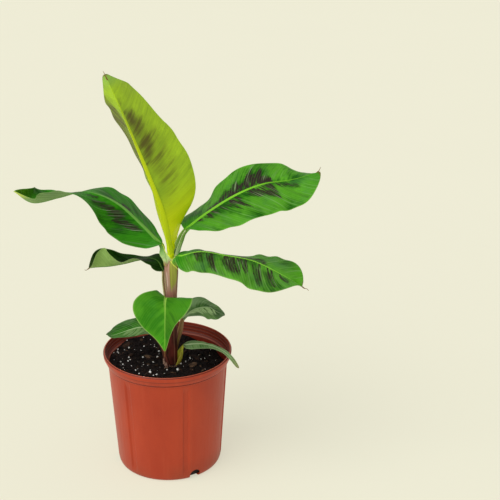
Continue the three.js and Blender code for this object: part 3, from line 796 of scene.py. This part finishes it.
def grow_thread(name, line):
    """The dry thread that a rib ends in."""
    rows, count = 14, 6
    t = np.linspace(0, 1, rows)
    centre = along(line, t)
    side, up = frames(centre, (0, 0, 1))
    angle = np.linspace(0, TURN, count, endpoint=False)[None, :, None]
    radius = (1.1 * (1 - 0.75 * t) * (1 + 0.2 * np.sin(9 * t)))[:, None, None]
    points = centre[:, None] + radius * (np.cos(angle) * side[:, None] + np.sin(angle) * up[:, None])
    material = dry_paint(f"{name}_dry", (96, 66, 34), (150, 118, 70))
    piece(f"{name}_thread", points.reshape(-1, 3), tube(rows, count), [material], sharp=60)


for number, leaf in enumerate(LEAVES):
    leaf = {**USUAL_LEAF, **leaf}
    grow_leaf(leaf, number + 1)
    if leaf["thread"]:
        grow_thread(leaf["name"], leaf["thread"])


# Pseudostem: a round column of wrapped leaf bases.
STEM_FOOT = (8, -15)
STEM_POINTS = [
    (7.5, -15, 210), (9, -15, 262), (10.5, -15, 310), (11, -15, 360),
    (11.5, -14.5, 400), (11.5, -14, 430), (11.5, -14, 446),
]
STEM_RADII = [11.6, 10.5, 9.8, 9.5, 11.3, 13.4, 9.5]
# The free edges of the wrapped leaf bases: degrees round from the front towards +X at the low
# end, the turn up to the high end, the two heights, and how far the sheath stands out.
WRAPS = [
    (30, -22, 206, 345, 0.9), (-62, 30, 206, 300, 1.0), (-12, 22, 296, 440, 0.8),
    (48, -26, 300, 430, 0.7), (165, 25, 206, 380, 0.9), (-120, -20, 290, 440, 0.8), (118, 15, 300, 440, 0.7),
]


def stem_paint():
    p = Paint("pseudostem_skin", 0.5, 0.18)
    lines, cloud = p.streaks(700, 9), p.cloud(90, 3, 0.5, (1, 1, 0.4))
    light = p.span(lines, 0.3, 0.7)
    p.colour = p.blend(light, (156, 112, 98), (186, 148, 128))
    olive = p.blend(light, (136, 142, 46), (170, 174, 78))
    dark = p.blend(p.span(cloud, 0.35, 0.65), (54, 18, 13), (92, 36, 28))
    for field, tint, most, push in (
        # Of these, the pale streak at -46 degrees is a painted highlight, and the dark line at -68 degrees a
        # painted shadow where a leaf's stalk lies against the stem.
        ("brown", (128, 92, 62), 1, 0.7), ("pink", (176, 116, 106), 1, 0.7), ("olive", olive, 1, 0.7),
        ("light", (226, 208, 196), 0.6, 0.7), ("stalk_shadow", (96, 50, 40), 0.85, 0), ("maroon", dark, 1, 0.7),
        ("husk", (140, 100, 84), 0.6, 0.7), ("lip", (226, 236, 96), 0.95, 0),
    ):
        p.coat(p.span(p.pushed(field, (lines, push)), 0.2, 0.8, 0, most), tint)
    p.coat("edge", (150, 110, 84), 0.4)
    p.coat(p.span(cloud, 0.66, 0.78, 0, 0.5), (60, 34, 24))
    return p.finish(p.span(cloud, 0.3, 0.7, 0.45, 0.6), lines, 0.0003, 0.9)


def grow_stem():
    rows, count = 190, 144
    t = np.linspace(0, 1, rows)
    centre = along(STEM_POINTS, t)
    x, y, z = centre.T[..., None]
    radius = along(STEM_RADII, t)[:, None]
    heading = np.degrees(np.linspace(-math.pi, math.pi, count, endpoint=False))
    z, heading = np.broadcast_arrays(z, heading)
    out = radius + 1.8 * bump(z, 9, 218) + 0.25 * np.sin(np.radians(heading * 3) + z / 37)
    edge = np.zeros((rows, count))
    for start, twist, low, high, height in WRAPS:
        here = (heading - (start + twist * np.clip((z - low) / (high - low), 0, 1)) + 180) % 360 - 180
        live = smoothstep(z, low - 4, low + 6) * (1 - smoothstep(z, high - 25, high))
        past = np.where(here < 0, here + 360, here)
        rise = smoothstep(past, 0, 5) * (1 - smoothstep(past, 90, 330))
        out = out + height * (rise - 0.45) * live
        edge = np.maximum(edge, bump(here, 3.2, 2) * live)
    window = smoothstep(heading, -26, -8) * (1 - smoothstep(heading, 42, 58))
    rear = smoothstep(np.abs(heading), 140, 160)
    fields = {
        "olive": np.clip(window + rear, 0, 1) * smoothstep(z - 0.35 * np.abs(heading), 366, 404),
        "brown": smoothstep(heading, 34, 60) * (1 - smoothstep(heading, 120, 150)),
        "pink": 1 - smoothstep(z, 366, 396),
        # Painted highlight: a pale streak down the stem's front left.
        "light": 0.8 * bump(heading, 8, -46) * smoothstep(z, 384, 396) * (1 - smoothstep(z, 416, 434)),
        # Painted shadow: a dark line where a leaf's stalk lies against the stem.
        "stalk_shadow": bump(heading, 6, -68) * smoothstep(z, 360, 372),
        "maroon": 1 - smoothstep(z, 288, 376),
        "husk": bump(heading, 26, -50) * (1 - smoothstep(z, 226, 262)),
        "lip": bump(z + 0.27 * heading, 1.5, 444) * (heading > -8) * (heading < 75),
        "edge": edge,
    }
    fields = {key: value.ravel() for key, value in fields.items()}
    turn = np.radians(heading)
    arc = (turn * radius * MM).ravel()
    fields["grain"] = np.stack([arc, (z * MM).ravel(), np.full(rows * count, 5.5)], -1)
    points = ring(x, y, out, turn, z).reshape(-1, 3)
    faces = tube(rows, count)
    piece("pseudostem_fine", points, faces, [stem_paint()], ["pseudostem"], None, fields, 60)


grow_stem()


# Dry scraps of old sheath round the foot: the middle and radius of the stem or stalk that each wraps,
# degrees round from the front towards +X, degrees wide, height and how far its top leans out.
HUSKS = [
    (1, -27, 8.2, -58, 110, 21, 2.2), (2, -28, 8.6, 8, 70, 12, 5), (3, -29, 9.4, -28, 50, 9, 7.5),
    (11, -26, 9.2, 10, 80, 9, 3), (8, -15, 15.6, 120, 60, 18, 2), (8, -15, 15.6, -140, 76, 26, 2.5),
]
HUSK_FOOT = 216


def grow_husks():
    rng = np.random.default_rng(23)
    rows, count = 12, 24
    share = np.linspace(0, 1, rows)[:, None]
    across = np.linspace(-0.5, 0.5, count)
    material = dry_paint("dry_sheath", (112, 78, 66), (196, 160, 140))
    for number, (x, y, near, start, width, height, lean) in enumerate(HUSKS):
        turn = np.radians(start + width * across)
        crest = np.sin(math.pi * np.linspace(0.06, 0.94, count)) ** 0.6
        top = height * crest * (1 + 0.2 * rng.normal(size=count)).clip(0.6, 1.3)
        radius = near + lean * share**2 + 0.5 * np.sin(turn * 7 + number) * share
        skins = [ring(x, y, radius - inward, turn, HUSK_FOOT + top * share) for inward in (0, 0.5)]
        points, faces = shell(*skins)[:2]
        piece(f"dry_sheath_{number}", points, faces, [material])


grow_husks()


# Pot: a turned wall whose rim, ledges and foot are profiles of (radius, height).
POT_HEIGHT = round(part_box("pot")[1][2] / MM, 2)
RIM_RADIUS = 128.5
# The wall's radius at the ground, and how much it widens with the height.
BODY_FOOT, WALL_SLOPE = 104.5, 15 / 222
POT_FOOT = [
    (60, 1.2), (88, 1.2), (90.5, 0), (97, 0), (98.9, 0.25), (100.7, 1.0), (102.2, 2.4), (103.4, 4.6),
    (104.3, 7.6), (105, 11),
]
# Down from the rim's crest: how far inside the rim's radius, and how far below the crest.
POT_RIM = [
    (9.0, 25.2), (8.1, 24.5), (7.4, 23.6), (7.3, 22.6), (7.6, 22.0), (7.8, 21.6), (7.4, 21.1), (6.5, 20.8),
    (5.6, 20.3), (5.0, 19.1), (4.2, 16.5), (3.4, 13.7), (2.9, 11.9), (2.8, 11.3), (2.1, 10.9), (1.2, 10.6),
    (0.8, 9.8), (0.6, 8.3), (0.25, 6.0), (0, 3.9), (0, 2.7), (0.4, 1.8), (1.0, 1.4), (1.3, 1.6), (1.5, 1.4),
    (1.6, 0.8), (2.0, 0.2), (2.6, 0), (3.2, 0.3), (3.5, 1.0),
]
POT_LEDGES = [
    (3.8, 4.6), (4.0, 6.2), (4.9, 6.8), (5.1, 8.0), (5.4, 11.4), (5.6, 12.6), (6.5, 13.2), (6.7, 14.4),
    (7.0, 17.4), (7.2, 18.6), (8.0, 19.2), (8.4, 20.6), (9.2, 22.0), (10.8, 22.8), (11.4, 23.6), (11.6, 26.2),
    (12.2, 36),
]
POT_INSIDE = [(109.5, 110), (103, 14), (101.4, 7), (98, 3), (60, 3)]
# Painted shade lines in the creases outside and at the feet of the ledges inside, as heights below the crest.
CREASES = [1.4, 11.2, 21.9]
LEDGE_FEET = [6.9, 13.3, 19.3, 24]
# Degrees round from the front towards +X.
FLUTES = [-43 + 60 * k for k in range(6)]
DRAINS = [28, 148, -87]
FLUTE_DEPTH = 2.6
DRAIN_RADIUS, DRAIN_HEIGHT = 11.5, 7
FLOOR_HOLE_RADIUS, FLOOR_HOLE_REACH = 7, 62


def pot_paint():
    p = Paint("pot_plastic", 0.4, 0.32)
    cloud, specks = p.cloud(11, 4, 0.55, (1, 1, 0.6)), p.cloud(420, 2)
    runs, scuff = p.cloud(1, 4, 0.6, (55, 55, 2.2)), p.cloud(1, 3, 0.6, (190, 190, 12))
    p.colour = p.blend(p.span(cloud, 0.3, 0.7), (163, 51, 22), (176, 60, 28))
    p.coat(p.span(runs, 0.5, 0.75, 0, 0.2), (190, 82, 50))
    foot = p.span(p.part(p.place(), 2), 0, 0.05, 0.5, 0)
    p.coat(p.times(foot, p.span(cloud, 0.35, 0.65)), (120, 60, 36))
    p.coat(p.span(specks, 0.68, 0.76, 0, 0.4), (110, 44, 30))
    # Painted shade: the inside of the pot is darkened.
    p.coat("inner", (98, 26, 14), 0.75)
    # Painted shade: dark lines in the rim's creases and at the feet of the ledges inside.
    p.coat("crease_shade", (66, 16, 9), 0.9)
    # Painted highlight: a pale line on the rim's crest and just above each ledge foot inside.
    p.coat("edge_highlight", (208, 116, 88), 0.5)
    wear = p.total((scuff, 0.6), (cloud, 0.5))
    return p.finish(p.span(wear, 0.35, 0.75, 0.34, 0.5), p.total((scuff, 0.4), (specks, 0.3)), 0.0003, 0.35)


def turned(profile, count):
    """Points of a profile turned round the upright axis, with the flutes pressed into the body."""
    turn = np.linspace(0, TURN, count, endpoint=False)
    rings = []
    for r, z in profile:
        radius = np.full(count, float(r))
        if 13 < z < 216 and r > BODY_FOOT:
            live = smoothstep(z, 13, 24) * (1 - smoothstep(z, 207, 215))
            for flute in FLUTES:
                off = np.radians((np.degrees(turn) - flute + 180) % 360 - 180) * r
                radius -= live * FLUTE_DEPTH * (1 - smoothstep(np.abs(off), 4.2, 7.4))
        rings.append(ring(0, 0, radius, turn, z))
    return np.concatenate(rings)


def cutter(name, place, axis, radius, depth):
    """A round tool, in millimetres."""
    mesh = bpy.data.meshes.new(name)
    made = bmesh.new()
    size = radius * MM
    bmesh.ops.create_cone(made, cap_ends=True, segments=40, radius1=size, radius2=size, depth=depth * MM)
    made.to_mesh(mesh)
    made.free()
    thing = add_thing(name, mesh)
    thing.location = Vector(place) * MM
    thing.rotation_euler = Vector(axis).to_track_quat("Z", "Y").to_euler()
    return thing


def cut_away(thing, tools):
    """Takes the tools' shapes out of the piece and deletes the tools."""
    for k, tool in enumerate(tools):
        cut = thing.modifiers.new(f"cut_{k}", "BOOLEAN")
        cut.operation = "DIFFERENCE"
        cut.solver = "EXACT"
        cut.object = tool
    bpy.context.view_layer.update()
    made = bpy.data.meshes.new_from_object(thing.evaluated_get(bpy.context.evaluated_depsgraph_get()))
    thing.modifiers.clear()
    old = thing.data
    thing.data = made
    bpy.data.meshes.remove(old)
    for tool in tools:
        bpy.data.objects.remove(tool)


def build_pot():
    count = 600
    body = [(BODY_FOOT + WALL_SLOPE * z, z) for z in np.linspace(16, 218, 31)]
    rim, ledges = ([(RIM_RADIUS - a, POT_HEIGHT - b) for a, b in own] for own in (POT_RIM, POT_LEDGES))
    outer = POT_FOOT + body + rim
    profile = outer + ledges + POT_INSIDE
    middles = [(0, 0, POT_FOOT[0][1]), (0, 0, POT_INSIDE[-1][1])]
    points = np.vstack([turned(profile, count), middles])
    faces = band(len(profile), count).tolist()
    bottom = len(points) - 2
    last = (len(profile) - 1) * count
    for j in range(count):
        k = (j + 1) % count
        faces += [(k, j, bottom), (last + j, last + k, bottom + 1)]
    below = POT_HEIGHT - points[:, 2]
    # The points inside the pot, which the paint darkens as painted shade.
    inner = (np.arange(len(points)) >= len(outer) * count) * 1.0
    # Painted shade along the creases outside and the ledge feet inside.
    crease_shade = np.where(inner > 0, bump(below, 0.9, *LEDGE_FEET), bump(below, 0.75, *CREASES))
    # Painted highlight on the crest and just above the ledge feet.
    edge_highlight = np.where(inner > 0, 0.8 * bump(below, 0.6, *(b - 1.2 for b in LEDGE_FEET)), bump(below, 0.4, 0.2))
    fields = {"inner": inner, "crease_shade": np.clip(crease_shade, 0, 1), "edge_highlight": edge_highlight}
    thing = piece("pot_fine", points, faces, [pot_paint()], ["pot"], None, fields, 40)
    tools = []
    for k, drain in enumerate(DRAINS):
        a = math.radians(drain)
        b = a + math.pi / 3
        out, between = (Vector((math.sin(turn), -math.cos(turn), 0)) for turn in (a, b))
        drain_place = out * BODY_FOOT + Vector((0, 0, DRAIN_HEIGHT))
        hole_place = between * FLOOR_HOLE_REACH + Vector((0, 0, 2))
        tools.append(cutter(f"drain_tool_{k}", drain_place, out, DRAIN_RADIUS, depth=24))
        tools.append(cutter(f"floor_tool_{k}", hole_place, (0, 0, 1), FLOOR_HOLE_RADIUS, depth=20))
    cut_away(thing, tools)


build_pot()


# Potting mix: the same surface as the solid, roughened, with loose grains strewn on it.
SOIL_TOP = 222
SOIL_RADIUS = 116.2
# Levels of the mix under its top, down the inside of the pot: radius and height.
SOIL_SIDES = [(114.2, 196), (109, 110), (102, 14.6), (97.4, 3.4)]


def soil_height(x, y):
    """The same surface as the solid's, in millimetres."""
    ease = smoothstep(np.hypot(x - STEM_FOOT[0], y - STEM_FOOT[1]), 45, 75)
    bumps = np.sin(x * 0.06 + 1) * np.cos(y * 0.07) + 0.6 * np.sin(x * 0.021 - y * 0.11)
    return SOIL_TOP + ease * (2.2 * bumps - 0.08 * x - 0.0007 * x * x)


def rough_height(x, y):
    """The clods on top of it."""
    places = [Vector((a, b, 0)) for a, b in zip(np.ravel(x), np.ravel(y))]
    found = [1.5 * noise.fractal(p / 9, 0.9, 2.1, 4) + 0.4 * noise.cell(p / 2.6) for p in places]
    return np.reshape(found, np.shape(x))


def earth(name, dark, pale, scale, roughness=0.9):
    p = Paint(name, roughness, 0.15)
    cloud, fine = p.cloud(scale, 4, 0.6), p.cloud(scale * 7, 2, 0.6)
    p.colour = p.blend(p.span(cloud, 0.35, 0.7), dark, pale)
    p.coat(p.span(fine, 0.5, 0.8, 0, 0.4), tuple(c * 0.5 for c in dark))
    return p.finish(p.span(cloud, 0.3, 0.7, roughness - 0.2, roughness), fine, 0.0006)


def build_soil():
    rings, count = 130, 460
    share = (np.linspace(0.004, 1, rings) ** 0.8)[:, None]
    angle = np.linspace(0, TURN, count, endpoint=False)
    rim = soil_height(SOIL_RADIUS * np.cos(angle), SOIL_RADIUS * np.sin(angle))
    r = (SOIL_RADIUS + WALL_SLOPE * (rim - SOIL_TOP)) * share
    x, y = r * np.cos(angle), r * np.sin(angle)
    z = soil_height(x, y) + rough_height(x, y) * (1 - smoothstep(share, 0.97, 1))
    layers = [np.stack([x, y, z], -1).reshape(-1, 3)]
    for radius, height in SOIL_SIDES:
        layers.append(np.stack([radius * np.cos(angle), radius * np.sin(angle), np.full(count, height)], -1))
    faces = [f[::-1] for f in tube(rings + len(SOIL_SIDES), count)]
    material = earth("peat", (15, 10, 11), (38, 26, 25), 260)
    piece("soil_surface", np.vstack(layers), faces, [material], ["potting_soil"])


build_soil()


def lump(detail):
    """Points and triangles of a round lump, finer with detail."""
    made = bmesh.new()
    bmesh.ops.create_icosphere(made, subdivisions=detail, radius=1)
    points = np.array([v.co for v in made.verts])
    faces = np.array([[v.index for v in f.verts] for f in made.faces])
    made.free()
    return points, faces


def strew(name, rng, spots, sizes, shape, detail, uneven, materials, picks, sunk, flat, spin=None):
    """Many small lumps as one piece, each at its own spot, size and turn; flat ones lie on the mix."""
    base, faces = lump(detail)
    n = len(spots)
    bodies = base[None] * (1 + uneven * rng.normal(size=(n, len(base), 1)))
    bodies = bodies * (np.asarray(shape) * (1 + 0.25 * rng.uniform(-1, 1, (n, 3))))[:, None]
    if flat:
        tilt = rng.normal(0, 0.22, (n, 2, 1))
        spin = (rng.uniform(0, TURN, n) if spin is None else np.radians(spin))[:, None]
        x, y, z = np.moveaxis(bodies, -1, 0)
        x, y = x * np.cos(spin) - y * np.sin(spin), x * np.sin(spin) + y * np.cos(spin)
        bodies = np.stack([x, y, z + x * tilt[:, 0] + y * tilt[:, 1]], -1)
    else:
        turns = [Quaternion(q).to_matrix() for q in unit(rng.normal(size=(n, 4)))]
        bodies = np.einsum("nij,nkj->nki", np.array(turns), bodies)
    bodies = bodies * np.asarray(sizes)[:, None, None]
    x, y = spots.T
    lift = soil_height(x, y) + rough_height(x, y) - bodies[..., 2].min(1) * (1 - 2 * sunk)
    points = bodies + np.stack([x, y, lift], -1)[:, None]
    # Nothing leans through the pot's wall.
    most = SOIL_RADIUS + WALL_SLOPE * (points[..., 2:] - SOIL_TOP)
    away = np.linalg.norm(points[..., :2], axis=-1, keepdims=True)
    points[..., :2] *= np.minimum(1, most / np.maximum(away, 1e-6))
    index = (faces[None] + (np.arange(n) * len(base))[:, None, None]).reshape(-1, 3)
    pick = np.repeat(picks, len(faces))
    sharp = 75 if detail == 1 else 50
    piece(name, points.reshape(-1, 3), index, materials, pick=pick, sharp=sharp)


def scatter(rng, n, most, bias=0, apart=0):
    """n spots on the mix clear of the stem and some way apart, thicker on the left and in front by bias."""
    found = []
    while len(found) < n:
        x, y = rng.uniform(-most, most, 2)
        if not (
            math.hypot(x, y) > most
            or math.hypot(x - STEM_FOOT[0], y - STEM_FOOT[1]) < 15
            or rng.uniform() < bias * (x + 0.5 * y + 60) / 160
            or apart and any(math.hypot(x - a, y - b) < apart for a, b in found)
        ):
            found.append((x, y))
    return np.array(found)


def perlite_paint():
    p = Paint("perlite", 0.75, 0.2)
    pits = p.node("ShaderNodeTexVoronoi", "Distance", {"Vector": p.place(), "Scale": 900})
    p.colour = p.blend(p.span(p.cloud(330), 0.3, 0.75), (232, 228, 226), (255, 254, 252))
    return p.finish(None, pits, 0.0005)


def build_fibres(rng, material):
    """Thin peat fibres, each a bent three-sided thread lying on the mix."""
    steps, sides = 6, 3
    points, faces = [], []
    for x, y in scatter(rng, 240, 106):
        size = rng.uniform(4, 15) / (steps - 1)
        heading, bend = rng.uniform(0, TURN), rng.normal(0, 0.9)
        faces += [[v + len(points) for v in f] for f in tube(steps, sides)]
        for share in np.linspace(0, 1, steps):
            a = heading + bend * share
            if share:
                x += size * math.cos(a)
                y += size * math.sin(a)
            z = soil_height(x, y) + rough_height(x, y) + 0.9 + 0.8 * math.sin(math.pi * share)
            thin = 0.22 * (1 - 0.6 * abs(2 * share - 1))
            for b in np.arange(sides) * TURN / sides:
                across = thin * math.cos(b)
                points.append((x - across * math.sin(a), y + across * math.cos(a), z + thin * math.sin(b)))
    piece("peat_fibres", points, faces, [material])


# The big chips of bark: x, y, size, degrees turned and which of the two colours.
BIG_BARK = [
    (-38, 10, 11, 160, 0), (-26, -28, 8, -30, 0), (48, -34, 12, 20, 0), (68, -45, 9, 40, 0),
    (-84, 62, 12, 30, 1), (-74, 14, 10, 60, 1), (10, -62, 6, 0, 0), (-60, -40, 6, 40, 1),
]


def dress_soil():
    rng = np.random.default_rng(11)
    brown = earth("brown_crumbs", (36, 24, 20), (68, 46, 34), 300)
    peat = [
        earth("peat_crumbs", (14, 10, 11), (34, 24, 23), 300), brown,
        earth("black_crumbs", (7, 5, 6), (20, 15, 16), 300, 0.75),
    ]
    bark = [
        earth("bark", (54, 38, 29), (110, 84, 64), 160, 0.85),
        earth("bark_dark", (34, 22, 17), (70, 46, 34), 160, 0.85),
    ]
    white = [perlite_paint()]
    # How many; how far out, how biased and how far apart; the mean and spread of the logarithm of the
    # size; then what strew asks for, with the share of each material.
    for name, n, where, size, shape, detail, uneven, materials, shares, sunk in (
        ("crumbs_small", 3600, (115,), (-0.1, 0.35), (1, 0.85, 0.7), 1, 0.16, peat, [0.6, 0.1, 0.3], 0.25),
        ("crumbs_large", 620, (112,), (0.75, 0.28), (1, 0.8, 0.65), 2, 0.11, peat, [0.6, 0.12, 0.28], 0.35),
        ("perlite_grains", 46, (113, 1, 12), (0.56, 0.2), (1, 0.92, 0.88), 3, 0.05, white, None, 0.15),
        ("perlite_dust", 70, (114, 0.6, 6), (-0.1, 0.25), (1, 0.9, 0.85), 2, 0.1, white, None, 0.15),
        ("bark_chips", 90, (108,), (1.25, 0.35), (1, 0.45, 0.16), 2, 0.1, bark, [0.4, 0.6], 0.2),
    ):
        spots = scatter(rng, n, *where)
        sizes = np.exp(rng.normal(*size, n))
        picks = rng.choice(len(shares), n, p=shares) if shares else np.zeros(n, int)
        strew(name, rng, spots, sizes, shape, detail, uneven, materials, picks, sunk, materials is bark)
    x, y, sizes, spin, picks = np.array(BIG_BARK, float).T
    spots = np.stack([x, y], -1)
    strew("bark_large", rng, spots, sizes, (1, 0.36, 0.12), 3, 0.05, bark, picks, 0.1, True, spin)
    build_fibres(rng, brown)


dress_soil()


def build_floor():
    mesh = bpy.data.meshes.new("floor")
    far, level = 30, -0.0004
    corners = [(-far, -far, level), (far, -far, level), (far, far, level), (-far, far, level)]
    mesh.from_pydata(corners, [], [(0, 1, 2, 3)])
    p = Paint("floor_cream", 0.9, 0)
    p.feed(p.sockets["Emission Color"], CREAM)
    p.feed(p.sockets["Emission Strength"], 0.64)
    p.colour = p.blend(p.cloud(3), (151, 149, 135), (153, 151, 137))
    mesh.materials.append(p.finish())
    thing = add_thing("floor", mesh)


build_floor()
